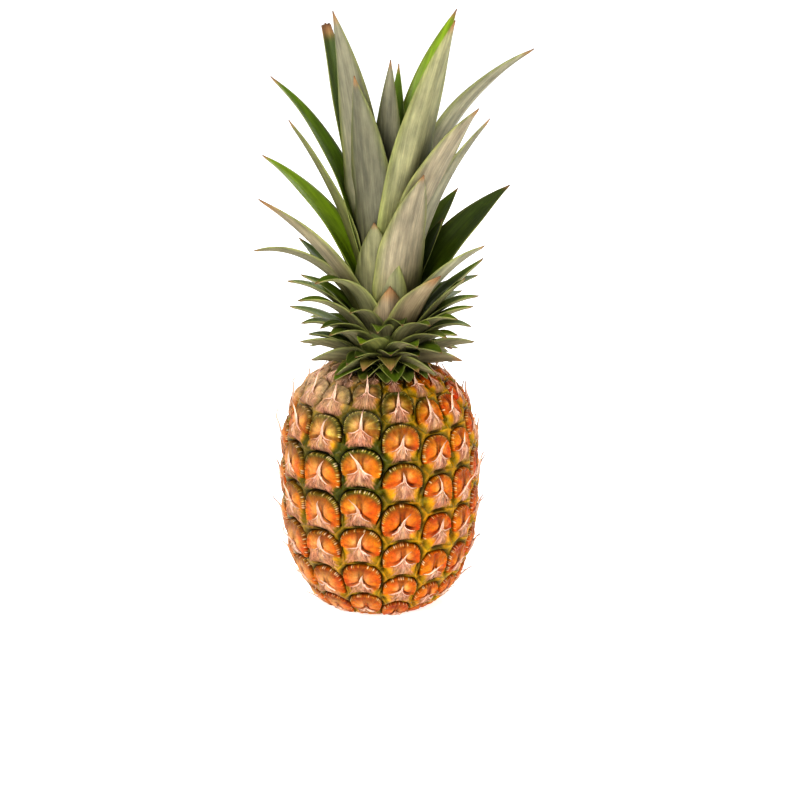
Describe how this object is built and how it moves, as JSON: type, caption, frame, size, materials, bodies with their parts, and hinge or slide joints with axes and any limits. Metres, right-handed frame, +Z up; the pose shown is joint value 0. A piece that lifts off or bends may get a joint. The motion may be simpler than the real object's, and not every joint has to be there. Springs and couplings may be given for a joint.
{
  "type": "pineapple",
  "caption": "Whole fresh pineapple standing upright: barrel of raised eyes with dry bracts and spines, crown of channelled pointed leaves, flat cut base with stem end.",
  "frame": {"origin": "centre of the flat base, on the cut end of the stem", "axes": "+Z up along the fruit to the crown, -Y towards the side that the picture shows"},
  "size_m": [0.1593, 0.1416, 0.3482],
  "materials": {
    "rind": "waxy fruit skin, orange to green with dry tan bracts",
    "leaf": "leathery leaf, green inside and grey bloom outside",
    "cut_stem": "pale fibrous cut end"
  },
  "bodies": {
    "root": {"fruit": "rind", "crown": "leaf", "cut_stem": "cut_stem"}
  },
  "joints": []
}
